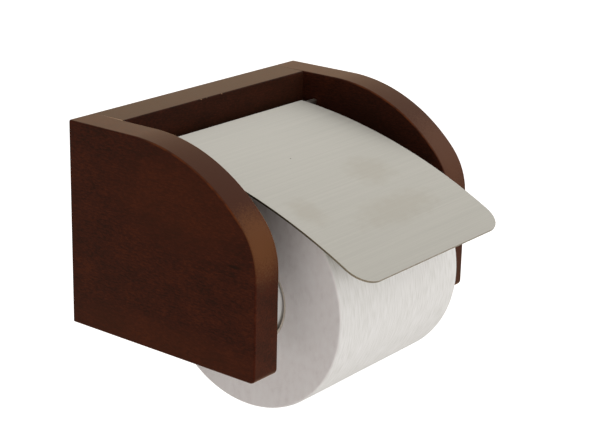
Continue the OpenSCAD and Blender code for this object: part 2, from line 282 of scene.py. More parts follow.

# %% Painted light on the sweep, and worn arrises
def off_middle_of_cheek(tree):
    """The distance in metres from the middle of either cheek's thickness."""
    place = add(tree, "ShaderNodeTexCoord").outputs["Object"]
    split = add(tree, "ShaderNodeSeparateXYZ", links={"Vector": place})
    side = add(tree, "ShaderNodeMath", links={0: split.outputs["X"]}, operation="ABSOLUTE")
    past = add(tree, "ShaderNodeMath", {1: MID_CHEEK * MM}, {0: side}, operation="ADD")
    return add(tree, "ShaderNodeMath", links={0: past}, operation="ABSOLUTE")


def painted_lit_sweep_and_rubbed_arris(tree, mm, colour):
    """A sweep painted paler, as painted light, and bare orange wood in patches along its
    arrises.
    """
    place = add(tree, "ShaderNodeTexCoord").outputs["Object"]
    apart = add(tree, "ShaderNodeMapping",
                {"Scale": (0, 1 / MM, 1 / MM), "Location": (0, -SWEEP_Y, -SWEEP_Z)},
                {"Vector": place})
    radius = add(tree, "ShaderNodeVectorMath", links={0: apart}, operation="LENGTH")
    split = add(tree, "ShaderNodeSeparateXYZ", links={"Vector": place})
    # Painted light: the sweep's surface is painted paler from where it leaves the level top, as
    # it turns up to the lamps
    sweep_painted_light = add(tree, "ShaderNodeMapRange",
               {"From Min": SWEEP_R - 0.7, "From Max": SWEEP_R - 0.2}, {"Value": radius})
    swept = add(tree, "ShaderNodeMapRange",
                {"From Min": (SWEEP_Y - 0.5) * MM, "From Max": (SWEEP_Y - 11.5) * MM},
                {"Value": split.outputs["Y"]})
    sweep_painted_light = add(tree, "ShaderNodeMath", links={0: sweep_painted_light, 1: swept}, operation="MULTIPLY")
    colour = add(tree, "ShaderNodeMix", {"B": linear("46281E")}, {"Factor": sweep_painted_light, "A": colour},
                 data_type="RGBA")
    # Each mask rises from 0 to 1 between two values: near the sweep's surface, near a side face,
    # and behind the front and before the level top, where the wear fades
    masks = [add(tree, "ShaderNodeMapRange", {"From Min": low, "From Max": high},
                 {"Value": source})
             for low, high, source in (
                 (SWEEP_R - 0.9, SWEEP_R - 0.5, radius),
                 ((HALF_CHEEK - 0.8) * MM, (HALF_CHEEK - 0.4) * MM, off_middle_of_cheek(tree)),
                 ((FRONT + 3) * MM, (FRONT + 13) * MM, split.outputs["Y"]),
                 ((SWEEP_Y - 5.5) * MM, (SWEEP_Y - 15.5) * MM, split.outputs["Y"]))]
    patches = add(tree, "ShaderNodeTexNoise", {"Scale": 1, "Detail": 3}, {"Vector": mm},
                  grain=(3, 3, 7))
    wear = add(tree, "ShaderNodeMapRange", {"From Min": 0.32, "From Max": 0.55, "To Max": 0.6},
               {"Value": patches})
    for mask in masks:
        wear = add(tree, "ShaderNodeMath", links={0: wear, 1: mask}, operation="MULTIPLY")
    return add(tree, "ShaderNodeMix", {"B": linear("703A1C")},
               {"Factor": wear, "A": colour}, data_type="RGBA")


# %% Stain and lacquer
ALONG_X, ALONG_Y = (0, -math.pi / 2, 0), (math.pi / 2, 0, 0)


def stained_wood(name, turn, stains):
    """Wood with four tones of stain from dark to pale, and what its finish is built on."""
    material, tree, shader = new_finish(name, IOR=1.5, Specular_IOR_Level=0.02,
                                        Sheen_Weight=0.8, Sheen_Roughness=0.35,
                                        Sheen_Tint=linear("E3BC90"))
    mm = in_mm(tree, turn)
    # Blotches of stain 9 mm wide, pores drawn 0.7 mm wide and 2 mm long, fibres 0.9 mm wide
    mottle = add(tree, "ShaderNodeTexNoise", {"Scale": 1, "Detail": 3}, {"Vector": mm},
                 grain=(9, 9, 13))
    speckle = add(tree, "ShaderNodeTexNoise", {"Scale": 1, "Detail": 2, "Roughness": 0.6},
                  {"Vector": mm}, grain=(0.7, 0.7, 2))
    fibres = add(tree, "ShaderNodeTexNoise", {"Scale": 1, "Detail": 3, "Distortion": 0.3},
                 {"Vector": mm}, grain=(0.9, 0.9, 26))

    tone = add(tree, "ShaderNodeMath", {1: 0.3}, {0: mottle}, operation="MULTIPLY")
    tone = add(tree, "ShaderNodeMath", {1: 0.6}, {0: speckle, 2: tone},
               operation="MULTIPLY_ADD")
    tone = add(tree, "ShaderNodeMath", {1: 0.1}, {0: fibres, 2: tone},
               operation="MULTIPLY_ADD")
    colour = add(tree, "ShaderNodeValToRGB", links={"Fac": tone},
                 stops=list(zip((0.36, 0.46, 0.54, 0.64), stains)))
    return material, tree, shader, mm, colour, speckle


def lacquered(tree, shader, colour, speckle):
    """The satin lacquer over the stain, a little uneven over the pores."""
    rough = add(tree, "ShaderNodeMapRange", {"To Min": 0.38, "To Max": 0.5},
                {"Value": speckle})
    bump = add(tree, "ShaderNodeBump", {"Strength": 0.3, "Distance": 0.05 * MM},
               {"Height": speckle})
    wire(tree, shader, Base_Color=colour, Roughness=rough, Normal=bump)


# %% Finish of the cheeks
cheek_wood, tree, shader, mm, colour, speckle = stained_wood(
    "stained_hardwood_grain_along_y", ALONG_Y, ("29120B", "36160E", "3F1A10", "4B2112"))
# The stain is thinner under the sweep and along the bottom edge
colour = marked(tree, colour, "5A2A15", 0.22, ((OUTER, -72, 18), (8, 46, 27)),
                ((OUTER, -62, -54), (8, 75, 14)), ragged=speckle)
# The inner faces are painted darker: painted shade inside the housing, between the cheeks
colour = marked(tree, colour, "180B08", 0.6, ((INNER, -62, 8), (2.5, 62, 50)),
                ((-INNER, -62, 8), (2.5, 62, 50)))
colour = painted_lit_sweep_and_rubbed_arris(tree, mm, colour)
# A paler oval at the front of each sweep, from arris to arris; on the left cheek it is a painted
# highlight, where the sweep faces up and forward into the light
rim = add(tree, "ShaderNodeMapRange",
          {"From Min": (HALF_CHEEK - 0.05) * MM, "From Max": (HALF_CHEEK - 0.45) * MM},
          {"Value": off_middle_of_cheek(tree)})
colour = marked(tree, colour, "6A4329", 0.85, ((MID_CHEEK, -114, 10), (20, 18, 24)),
                ragged=speckle, within=rim)
colour = marked(tree, colour, "5E3F31", 0.85, ((-MID_CHEEK, -104, 12), (20, 26, 34)),
                ragged=speckle, within=rim)
# A dark vein on the outside of the left cheek and an open pore on its front
colour = marked(tree, colour, "1A0C07", 0.8, ((OUTER, -102.7, -4.3), (2, 6, 1)),
                ((-78.3, FRONT, -48.3), (0.6, 1, 0.6)))
lacquered(tree, shader, colour, speckle)
print("made", cheek_wood.name)

# %% Finish of the back board
# The board's tones are darker than the cheeks': a darker copy of the same wood, painted shade
# for the board's inner face, which lies in shade above the flap
board_wood_painted_shade, tree, shader, mm, colour, speckle = stained_wood(
    "stained_hardwood_along_x_painted_shade", ALONG_X, ("1F0B08", "270F09", "2E120B", "37160D"))
# Small chips where the lacquer came off the board's upper edge
colour = marked(tree, colour, "B98F6C", 0.9, ((-13.2, -19.4, TOP), (0.8, 0.5, 0.5)),
                ((-9, -19.4, TOP), (0.5, 0.4, 0.4)), ((2.3, -19.4, TOP), (0.7, 0.5, 0.5)))
lacquered(tree, shader, colour, speckle)
print("made", board_wood_painted_shade.name)

# %% [markdown]
# ## Brushed stainless steel
# The flap is blanked from stainless sheet that was brushed on a belt, across the flap. The
# strokes are long and parallel to X, about a tenth of a millimetre apart. That is too fine to
# show here, so they are drawn 0.3 to 1.5 mm apart. The sheet is rough, and more so across the
# strokes than along them, so it mirrors nothing sharply: the dark cheek beside it only shades
# its side. A few finger marks are slightly warmer. The sheared edge of the sheet isn't brushed
# and is rough, and its colour is painted far darker than steel, as painted shade, so that it
# shows as a thin dark line round the flap.

# %% Brushed and sheared steel
STROKES = "across_the_strokes"


def brushed_sheet(name, handled):
    material, tree, shader = new_finish(name, Metallic=1, Anisotropic=0.6)
    mm = in_mm(tree, ALONG_X)
    fine = add(tree, "ShaderNodeTexNoise", {"Scale": 1, "Detail": 1}, {"Vector": mm},
               grain=(0.3, 0.3, 70))
    broad = add(tree, "ShaderNodeTexNoise", {"Scale": 1, "Detail": 2}, {"Vector": mm},
                grain=(1.5, 1.5, 120))
    strokes = add(tree, "ShaderNodeMath", {1: 0.5}, {0: broad, 2: fine},
                  operation="MULTIPLY_ADD")
    colour = add(tree, "ShaderNodeValToRGB", links={"Fac": strokes},
                stops=[(0.55, "BDBAB2"), (0.95, "C6C3BB")])
    if handled:
        # Finger marks, and one tiny pit
        smear = add(tree, "ShaderNodeTexNoise", {"Scale": 1, "Detail": 3}, {"Vector": mm},
                    grain=(4, 4, 6))
        colour = marked(tree, colour, "B0A899", 0.25, ((-43, -111, 13), (11, 16, 7)),
                        ((6, -126, 6), (36, 14, 9)), ((20, -100, 17), (18, 16, 9)),
                        ragged=smear)
        colour = marked(tree, colour, "4A443A", 0.8, ((-10.8, -74.6, 24.2), (0.5, 0.5, 0.5)))
    rough = add(tree, "ShaderNodeMapRange",
                {"From Min": 0.5, "From Max": 1.0, "To Min": 0.8, "To Max": 0.95},
                {"Value": strokes})
    bump = add(tree, "ShaderNodeBump", {"Strength": 0.06, "Distance": 0.01 * MM},
               {"Height": strokes})
    across = add(tree, "ShaderNodeTangent", direction_type="UV_MAP", uv_map=STROKES)
    wire(tree, shader, Base_Color=colour, Roughness=rough, Normal=bump, Tangent=across)
    return material


def sheared_edge_painted_dark():
    material, tree, shader = new_finish("sheared_stainless_edge_painted_shade", Metallic=1)
    mm = in_mm(tree)
    grit = add(tree, "ShaderNodeTexNoise", {"Scale": 1, "Detail": 3}, {"Vector": mm},
               grain=(0.4, 0.4, 0.4))
    # Far darker than any steel: painted shade, for the thin dark line of the sheet's edge; the
    # grit and roughness are the edge's own
    colour = add(tree, "ShaderNodeValToRGB", links={"Fac": grit},
                 stops=[(0.35, "5E5546"), (0.7, "8A806E")])
    rough = add(tree, "ShaderNodeMapRange", {"To Min": 0.4, "To Max": 0.6}, {"Value": grit})
    wire(tree, shader, Base_Color=colour, Roughness=rough)
    return material


# %% Finishes of the flap
flap_face = brushed_sheet("brushed_stainless_sheet", handled=True)
flap_back = brushed_sheet("brushed_stainless_underside", handled=False)
flap_edge_painted_shade = sheared_edge_painted_dark()
print("made", flap_face.name, "and", flap_back.name, "and", flap_edge_painted_shade.name)

# %% [markdown]
# ## Drawn steel: the rod and the spring
# Wire and rod are pulled through a die, which leaves fine straight lines along them and a
# slightly uneven surface. The rod was drawn bright, its lines run along X, and it has dulled
# to a satin grey. The spring is harder wire with a greyer skin.

# %% Drawn steel
def drawn_steel(name, dark, pale, roughness):
    material, tree, shader = new_finish(name, Metallic=1)
    mm = in_mm(tree, ALONG_X)
    lines = add(tree, "ShaderNodeTexNoise", {"Scale": 1, "Detail": 2}, {"Vector": mm},
                grain=(0.25, 0.25, 30))
    colour = add(tree, "ShaderNodeValToRGB", links={"Fac": lines},
                 stops=[(0.3, dark), (0.7, pale)])
    rough = add(tree, "ShaderNodeMapRange",
                {"To Min": roughness - 0.08, "To Max": roughness + 0.08}, {"Value": lines})
    bump = add(tree, "ShaderNodeBump", {"Strength": 0.3, "Distance": 0.01 * MM},
               {"Height": lines})
    wire(tree, shader, Base_Color=colour, Roughness=rough, Normal=bump)
    return material


rod_steel = drawn_steel("drawn_bright_steel_rod", "9C978E", "BFBAB1", 0.4)
spring_steel = drawn_steel("drawn_spring_wire", "8D8B88", "B5B3B0", 0.34)
print("made", rod_steel.name, "and", spring_steel.name)

# %% [markdown]
# ## Moulded plastic and turned beech
# The roller is injection-moulded polypropylene: white, faintly waxy, with a very fine texture
# from the mould. The dowels are bare beech, pale with short darker flecks.

# %% Moulded plastic
def moulded_plastic():
    material, tree, shader = new_finish("moulded_polypropylene", IOR=1.49)
    mm = in_mm(tree)
    texture = add(tree, "ShaderNodeTexNoise", {"Scale": 1, "Detail": 3}, {"Vector": mm},
                  grain=(0.35, 0.35, 0.35))
    cloud = add(tree, "ShaderNodeTexNoise", {"Scale": 1, "Detail": 2}, {"Vector": mm},
                grain=(18, 18, 18))
    colour = add(tree, "ShaderNodeValToRGB", links={"Fac": cloud},
                 stops=[(0.35, "E6E6E4"), (0.65, "EFEFEE")])
    rough = add(tree, "ShaderNodeMapRange", {"To Min": 0.3, "To Max": 0.42},
                {"Value": texture})
    bump = add(tree, "ShaderNodeBump", {"Strength": 0.2, "Distance": 0.02 * MM},
               {"Height": texture})
    wire(tree, shader, Base_Color=colour, Roughness=rough, Normal=bump)
    return material


roller_plastic = moulded_plastic()
print("made", roller_plastic.name)

# %% Turned beech
def beech():
    material, tree, shader = new_finish("turned_beech", IOR=1.5)
    mm = in_mm(tree, ALONG_X)
    fibres = add(tree, "ShaderNodeTexNoise", {"Scale": 1, "Detail": 3}, {"Vector": mm},
                 grain=(0.7, 0.7, 16))
    flecks = add(tree, "ShaderNodeTexNoise", {"Scale": 1, "Detail": 0}, {"Vector": mm},
                 grain=(0.4, 0.4, 2.2))
    wood = add(tree, "ShaderNodeValToRGB", links={"Fac": fibres},
               stops=[(0.3, "B98F63"), (0.7, "D9B98A")])
    fleck = add(tree, "ShaderNodeMapRange", {"From Min": 0.68, "From Max": 0.75, "To Max": 0.6},
                {"Value": flecks})
    colour = add(tree, "ShaderNodeMix", {"B": linear("8A5F3C")}, {"Factor": fleck, "A": wood},
                 data_type="RGBA")
    rough = add(tree, "ShaderNodeMapRange", {"To Min": 0.55, "To Max": 0.7},
                {"Value": fibres})
    wire(tree, shader, Base_Color=colour, Roughness=rough)
    return material


dowel_beech = beech()
print("made", dowel_beech.name)

# %% [markdown]
# ## Wound cardboard and tissue
# The core is grey-brown cardboard, wound from a strip, so a helical seam runs along it. The
# seam is where a count of turns about the axis plus the distance along it passes a whole
# number. The tissue is soft, matt and slightly warm. Fine embossed dashes run round the
# roll, and its ends show flecks and the edges of the layers as faint rings, which come from
# the distance to the axis. The patterns are centred on the roll's axis by a Mapping node.

# %% Wound cardboard
AXIS_Y, ROLL_Z, ROLL_SHIFT, ROLL_R, HALF_W = -77.7, -36.15, 2.5, 56, 48.5
ROLL_CENTRE = (ROLL_SHIFT, AXIS_Y, ROLL_Z)
SEAM_PITCH = 62


def wound_cardboard():
    material, tree, shader = new_finish("wound_cardboard", IOR=1.45, Specular_IOR_Level=0.2)
    mm = in_mm(tree, centre=ROLL_CENTRE)
    split = add(tree, "ShaderNodeSeparateXYZ", links={"Vector": mm})
    angle = add(tree, "ShaderNodeMath", links={0: split.outputs["Z"], 1: split.outputs["Y"]},
                operation="ARCTAN2")
    turns = add(tree, "ShaderNodeMath", {1: 1 / math.tau}, {0: angle}, operation="MULTIPLY")
    along = add(tree, "ShaderNodeMath", {1: 1 / SEAM_PITCH},
                {0: split.outputs["X"], 2: turns}, operation="MULTIPLY_ADD")
    winding = add(tree, "ShaderNodeMath", links={0: along}, operation="FRACT")
    seam = add(tree, "ShaderNodeMapRange", {"From Min": 0.015, "From Max": 0.03},
               {"Value": winding})
    fibres = add(tree, "ShaderNodeTexNoise", {"Scale": 1, "Detail": 4}, {"Vector": mm},
                 grain=(0.6, 0.6, 2.5))
    board = add(tree, "ShaderNodeValToRGB", links={"Fac": fibres},
                stops=[(0.3, "CDC0B1"), (0.7, "EBE1D3")])
    colour = add(tree, "ShaderNodeMix", {"A": linear("5F554B")}, {"Factor": seam, "B": board},
                 data_type="RGBA")
    rough = add(tree, "ShaderNodeMapRange", {"To Min": 0.75, "To Max": 0.9},
                {"Value": fibres})
    height = add(tree, "ShaderNodeMath", {1: 0.4}, {0: fibres, 2: seam},
                 operation="MULTIPLY_ADD")
    bump = add(tree, "ShaderNodeBump", {"Strength": 0.5, "Distance": 0.1 * MM},
               {"Height": height})
    wire(tree, shader, Base_Color=colour, Roughness=rough, Normal=bump)
    return material


core_board = wound_cardboard()
print("made", core_board.name)

# %% Tissue
def tissue():
    material, tree, shader = new_finish("embossed_tissue", IOR=1.45, Specular_IOR_Level=0.1,
                                        Sheen_Weight=0.1, Sheen_Roughness=0.6)
    mm = in_mm(tree, centre=ROLL_CENTRE)
    # Round the roll the pattern lies on the distance along the paper, from the front both ways
    split = add(tree, "ShaderNodeSeparateXYZ",
                links={"Vector": in_mm(tree, (0, 0, math.pi), ROLL_CENTRE)})
    angle = add(tree, "ShaderNodeMath", links={0: split.outputs["Z"], 1: split.outputs["Y"]},
                operation="ARCTAN2")
    paper = add(tree, "ShaderNodeMath", {1: ROLL_R}, {0: angle}, operation="MULTIPLY")
    sheet = add(tree, "ShaderNodeCombineXYZ", links={0: split.outputs["X"], 1: paper})
    # Dashes of the emboss 0.3 mm wide and 4 mm long, fluff drawn at 0.8 mm
    emboss = add(tree, "ShaderNodeTexNoise", {"Scale": 1, "Detail": 1, "Roughness": 0.4},
                 {"Vector": sheet}, grain=(0.6, 8, 1))
    fluff = add(tree, "ShaderNodeTexNoise", {"Scale": 1, "Detail": 4}, {"Vector": mm},
                grain=(0.8, 0.8, 0.8))
    cloud = add(tree, "ShaderNodeTexNoise", {"Scale": 1, "Detail": 2}, {"Vector": mm},
                grain=(16, 16, 16))
    spread = add(tree, "ShaderNodeMapping", {"Scale": (0, 1, 1)}, {"Vector": mm})
    radius = add(tree, "ShaderNodeVectorMath", links={0: spread}, operation="LENGTH")
    layers = add(tree, "ShaderNodeTexNoise", {"Scale": 1.6, "Detail": 3, "Roughness": 0.7},
                 {"W": radius}, noise_dimensions="1D")
    off_middle = add(tree, "ShaderNodeMath", links={0: split.outputs["X"]},
                     operation="ABSOLUTE")
    at_end = add(tree, "ShaderNodeMapRange",
                 {"From Min": HALF_W - 0.7, "From Max": HALF_W - 0.2}, {"Value": off_middle})
    flecks = add(tree, "ShaderNodeTexNoise", {"Scale": 1, "Detail": 4}, {"Vector": mm},
                 grain=(3, 3, 5))
    faint = add(tree, "ShaderNodeMapRange", {"To Min": 0.22, "To Max": 0.3}, {"Value": layers})
    faint = add(tree, "ShaderNodeMath", {1: 0.5}, {0: flecks, 2: faint},
                operation="MULTIPLY_ADD")
    relief = add(tree, "ShaderNodeMix", links={"Factor": at_end, "A": emboss, "B": faint},
                 data_type="FLOAT")
    tone = add(tree, "ShaderNodeMath", {1: 0.25}, {0: cloud, 2: relief},
               operation="MULTIPLY_ADD")
    face = add(tree, "ShaderNodeValToRGB", links={"Fac": tone},
               stops=[(0.48, "E3E2DE"), (0.62, "EBEAE7"), (0.85, "F1F0EE")])
    # The ends are painted paler and pinker than the face: painted reflection, the warm light
    # that the red-brown wood beside them throws onto them
    ends = add(tree, "ShaderNodeValToRGB", links={"Fac": tone},
               stops=[(0.48, "E8E2E0"), (0.6, "F1ECEA"), (0.85, "F8F5F3")])
    colour = add(tree, "ShaderNodeMix", links={"Factor": at_end, "A": face, "B": ends},
                 data_type="RGBA")
    rough = add(tree, "ShaderNodeMapRange", {"To Min": 0.85, "To Max": 1.0},
                {"Value": fluff})
    height = add(tree, "ShaderNodeMath", {1: 0.25}, {0: fluff, 2: relief},
                 operation="MULTIPLY_ADD")
    bump = add(tree, "ShaderNodeBump", {"Strength": 0.4, "Distance": 0.1 * MM},
               {"Height": height})
    wire(tree, shader, Base_Color=colour, Roughness=rough, Normal=bump)
    return material


roll_tissue = tissue()
print("made", roll_tissue.name)

# %% [markdown]
# ## Modelling by hand, in code
# Each new piece starts from a primitive and is shaped in edit mode. What a hand would click
# is chosen here by a test on its corners, in millimetres. These helpers open a piece, select,
# extrude, spin and finish. To finish a piece is to smooth what is nearly flat, to weight its
# normals by the size of its faces, so that a large face stays flat beside its rounded arris,
# to give it its name, its body and its finish, and to hide the CAD node it replaces. Spin
# turns clockwise, seen from where its axis points to.

# %% Helpers for modelling
def plane(width, depth, place, turn=(0, 0, 0)):
    """A plane of that many millimetres, with its place in its mesh, opened for editing."""
    bpy.ops.object.select_all(action="DESELECT")
    bpy.ops.mesh.primitive_plane_add(size=1, location=[c * MM for c in place], rotation=turn)
    made = bpy.context.object
    made.scale = (width * MM, depth * MM, 1)
    bpy.ops.object.transform_apply(location=True, rotation=True, scale=True)
    bpy.ops.object.mode_set(mode="EDIT")
    return made


def choose(kind, test, but=None):
    """Selects the verts, edges or faces whose corners, in mm, all pass the test.

    Those whose corners all pass the second test are left out.
    """
    bpy.ops.mesh.select_mode(type={"verts": "VERT", "edges": "EDGE", "faces": "FACE"}[kind])
    bpy.ops.mesh.select_all(action="DESELECT")
    mesh = bmesh.from_edit_mesh(bpy.context.object.data)
    for item in getattr(mesh, kind):
        corners = [v.co / MM for v in ([item] if kind == "verts" else item.verts)]
        if all(test(*c) for c in corners) and not (but and all(but(*c) for c in corners)):
            item.select_set(True)
    bmesh.update_edit_mesh(bpy.context.object.data)


def near(a, b):
    """Whether two lengths in mm are the same but for rounding."""
    return abs(a - b) < 0.01


def spin(degrees, steps, y, z):
    """Spins the selection clockwise about a line along X, seen from +X."""
    bpy.ops.mesh.spin(steps=steps, angle=math.radians(degrees), axis=(1, 0, 0),
                      center=(0, y * MM, z * MM))


def extrude(x=0, y=0, z=0):
    """Extrudes the selection by that many millimetres."""
    bpy.ops.mesh.extrude_region_move(
        TRANSFORM_OT_translate={"value": (x * MM, y * MM, z * MM)})


def tidy_mesh():
    """Merges doubled corners and turns all faces outwards."""
    bpy.ops.mesh.select_all(action="SELECT")
    bpy.ops.mesh.remove_doubles(threshold=0.002 * MM)
    bpy.ops.mesh.normals_make_consistent(inside=False)


def apply_modifier(piece, kind, **settings):
    """Adds one modifier to a piece and applies it."""
    modifier = piece.modifiers.new(kind.lower(), kind)
    for name, value in settings.items():
        setattr(modifier, name, value)
    bpy.context.view_layer.objects.active = piece
    bpy.ops.object.modifier_apply(modifier=modifier.name)


def finish_piece(piece, name, body, slot, *materials, replaces=None, smooth_under=35):
    """Shades and names a piece, gives it its finish and its body, and hides the CAD node it
    replaces.

    Faces that meet at less than smooth_under degrees are shaded as one.
    """
    bpy.ops.object.select_all(action="DESELECT")
    piece.select_set(True)
    bpy.context.view_layer.objects.active = piece
    bpy.ops.object.transform_apply(location=True, rotation=True, scale=True)
    bpy.ops.object.shade_smooth_by_angle(angle=math.radians(smooth_under))
    apply_modifier(piece, "WEIGHTED_NORMAL", keep_sharp=True)
    piece.name = piece.data.name = name
    for material in materials[len(piece.data.materials):]:
        piece.data.materials.append(material)
    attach(piece, body)
    if replaces:
        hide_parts(replaces)
    corners = list(zip(*(v.co / MM for v in piece.data.vertices)))
    print(name, len(piece.data.polygons), "faces, from",
          [round(min(c), 2) for c in corners], "to", [round(max(c), 2) for c in corners])


# %% [markdown]
# ## The cheeks
# A cheek is a 16.5 mm board, sawn to a quarter-round outline and sanded: its arrises are
# rounded to a little under 1 mm. The CAD solid has this outline in short flat steps. Here it
# is drawn as a carpenter would with a compass: a strip for the level top is spun about the
# sweep's centre, then about the smaller blend's, run down the front, turned round the toe and
# closed. Filling both sides gives the board, two bevels give the arrises, and a Boolean drills
# the dowel holes and the sockets of the rod and the roller.

# %% Left cheek outline
SWEEP_STEPS, BLEND_STEPS, TOE_STEPS = 36, 10, 6

left_cheek = plane(INNER - OUTER, -SWEEP_Y, (MID_CHEEK, SWEEP_Y / 2, TOP))
choose("edges", lambda x, y, z: near(y, SWEEP_Y))
spin(-SWEEP_DEGREES, SWEEP_STEPS, SWEEP_Y, SWEEP_Z)
spin(SWEEP_DEGREES - 90, BLEND_STEPS, BLEND_Y, BLEND_Z)
extrude(z=BOTTOM + TOE_R - BLEND_Z)
spin(-90, TOE_STEPS, FRONT + TOE_R, BOTTOM + TOE_R)
extrude(y=-(FRONT + TOE_R))
extrude(z=TOP - BOTTOM)
tidy_mesh()
for side in (OUTER, INNER):
    choose("edges", lambda x, y, z: near(x, side))
    bpy.ops.mesh.edge_face_add()
tidy_mesh()
print("cheek outline has", len(bmesh.from_edit_mesh(left_cheek.data).verts) // 2, "corners")

# %% Left cheek arrises
OUTER_ARRIS, INNER_ARRIS = 0.9, 0.8

choose("edges", lambda x, y, z: near(x, OUTER), but=lambda x, y, z: near(y, 0))
bpy.ops.mesh.bevel(offset=OUTER_ARRIS * MM, segments=4, profile=0.5, affect="EDGES",
                   clamp_overlap=False)
bpy.ops.mesh.select_all(action="SELECT")
bpy.ops.mesh.bisect(plane_co=(0, BOARD_Y * MM, 0), plane_no=(0, 1, 0))
choose("edges", lambda x, y, z: near(x, INNER) and y < BOARD_Y + 0.01,
       but=lambda x, y, z: near(y, BOARD_Y))
bpy.ops.mesh.bevel(offset=INNER_ARRIS * MM, segments=3, profile=0.5, affect="EDGES",
                   clamp_overlap=False)
tidy_mesh()
bpy.ops.object.mode_set(mode="OBJECT")
print("cheek has", len(left_cheek.data.polygons), "faces before drilling")

# %% Left cheek holes
HINGE_Y, HINGE_Z, ROLLER_Z = -27.5, 29.3, -35.2
# How far the drill starts outside the wood, and the radius, depth and place of each blind
# hole: two dowels, the rod and the roller
OVERRUN = 1
HOLES = ((4.05, 11.4, BOARD_Y / 2, -38), (4.05, 11.4, BOARD_Y / 2, 24.5),
         (1.55, 8, HINGE_Y, HINGE_Z), (4.08, 8, AXIS_Y, ROLLER_Z))

for radius, depth, y, z in HOLES:
    bpy.ops.object.select_all(action="DESELECT")
    bpy.ops.mesh.primitive_cylinder_add(
        vertices=64, radius=radius * MM, depth=(depth + OVERRUN) * MM,
        location=((INNER + (OVERRUN - depth) / 2) * MM, y * MM, z * MM),
        rotation=(0, math.pi / 2, 0))
    drill = bpy.context.object
    apply_modifier(left_cheek, "BOOLEAN", operation="DIFFERENCE", solver="EXACT", object=drill)
    bpy.data.objects.remove(drill)
print("drilled", len(HOLES), "blind holes")

# %% Right cheek
right_cheek = left_cheek.copy()
right_cheek.data = left_cheek.data.copy()
bpy.context.collection.objects.link(right_cheek)
bpy.ops.object.select_all(action="DESELECT")
right_cheek.select_set(True)
bpy.context.view_layer.objects.active = right_cheek
right_cheek.scale = (-1, 1, 1)
bpy.ops.object.transform_apply(location=True, rotation=True, scale=True)
bpy.ops.object.mode_set(mode="EDIT")
tidy_mesh()
bpy.ops.object.mode_set(mode="OBJECT")

finish_piece(left_cheek, "left_cheek_board", "housing", "stained_wood", cheek_wood,
             replaces="left_cheek")
finish_piece(right_cheek, "right_cheek_board", "housing", "stained_wood", cheek_wood,
             replaces="right_cheek")

# %% [markdown]
# ## The flap
# The flap is a 1 mm steel sheet: blanked with two round front corners, bent to a long gentle
# curve and rolled at its rear into a hem that is crimped on the hinge rod. It is made in the
# same order. A flat plate stands on its rear edge, its front corners are bevelled, and cuts
# across it give the bend something to turn. Solidify gives it the sheet's thickness, a Simple
# Deform bends it to the 300 mm curve, and its rear end is spun round the rod. Which way a face
# looks then says whether it is the top, the underside or the sheet's thickness, which gets the
# sheared finish. A UV map holds the direction of the brush strokes. Last the flap is turned
# down onto the roll.

# %% Flap blank
FLAP_W, FLAP_L, SHEET, FLAP_R, CORNER = 116, 134.5, 1, 300, 12
# The hem's outer radius and how many degrees it turns, and the slope of the flap at rest
HEM_R, HEM_TURN, REST_SLOPE = 2.53, 309, 4.65105
STRIPS, HEM_STEPS = 64, 44
TOP_SIDE, THICKNESS, UNDERSIDE = 0, 1, 2

flap = plane(FLAP_W, FLAP_L, (0, 0, FLAP_L / 2), turn=(-math.pi / 2, 0, 0))
choose("verts", lambda x, y, z: near(z, FLAP_L))
bpy.ops.mesh.bevel(offset=CORNER * MM, segments=12, profile=0.5, affect="VERTICES")
for k in range(1, STRIPS):
    bpy.ops.mesh.select_all(action="SELECT")
    bpy.ops.mesh.bisect(plane_co=(0, 0, FLAP_L * k / STRIPS * MM), plane_no=(0, 0, 1))
bpy.ops.object.mode_set(mode="OBJECT")
apply_modifier(flap, "SOLIDIFY", thickness=SHEET * MM, offset=-1)
for steel in (flap_face, flap_edge_painted_shade, flap_back):
    flap.data.materials.append(steel)
print("flap blank", FLAP_W, "by", FLAP_L, "mm in", STRIPS, "strips")

# %% Flap bend and hem
apply_modifier(flap, "SIMPLE_DEFORM", deform_method="BEND", deform_axis="X",
               angle=-FLAP_L / FLAP_R)
bpy.ops.object.mode_set(mode="EDIT")
bpy.ops.mesh.select_all(action="SELECT")
bpy.ops.transform.translate(value=(0, HEM_R * MM, 0))
choose("faces", lambda x, y, z: near(z, 0))
spin(HEM_TURN, HEM_STEPS, 0, 0)
tidy_mesh()
print("hem turned by", HEM_TURN, "degrees in", HEM_STEPS, "steps")

# %% Flap edges
# A face that leans past STEEP from the sheet's own direction belongs to its thickness, but
# not in the hem, which turns all the way round and lies within 2 * HEM_R of its axis
STEEP, EDGE_BREAK = 0.7, 0.12

mesh = bmesh.from_edit_mesh(flap.data)
for face in mesh.faces:
    slope = face.normal
    middle = face.calc_center_median() / MM
    upwards = slope.y * math.cos(middle.z / FLAP_R) + slope.z * math.sin(middle.z / FLAP_R)
    if abs(slope.x) > STEEP or (middle.z > 2 * HEM_R and abs(upwards) < STEEP):
        face.material_index = THICKNESS
    else:
        face.material_index = UNDERSIDE if upwards < 0 else TOP_SIDE
bmesh.update_edit_mesh(flap.data)
bpy.ops.mesh.select_mode(type="EDGE")
bpy.ops.mesh.select_all(action="DESELECT")
bpy.ops.mesh.edges_select_sharp(sharpness=math.radians(60))
bpy.ops.mesh.bevel(offset=EDGE_BREAK * MM, segments=2, profile=0.5, affect="EDGES",
                   material=THICKNESS)
mesh = bmesh.from_edit_mesh(flap.data)
sheared = sum(face.material_index == THICKNESS for face in mesh.faces)
print(sheared, "of", len(mesh.faces), "faces of the flap are sheared or broken edges")

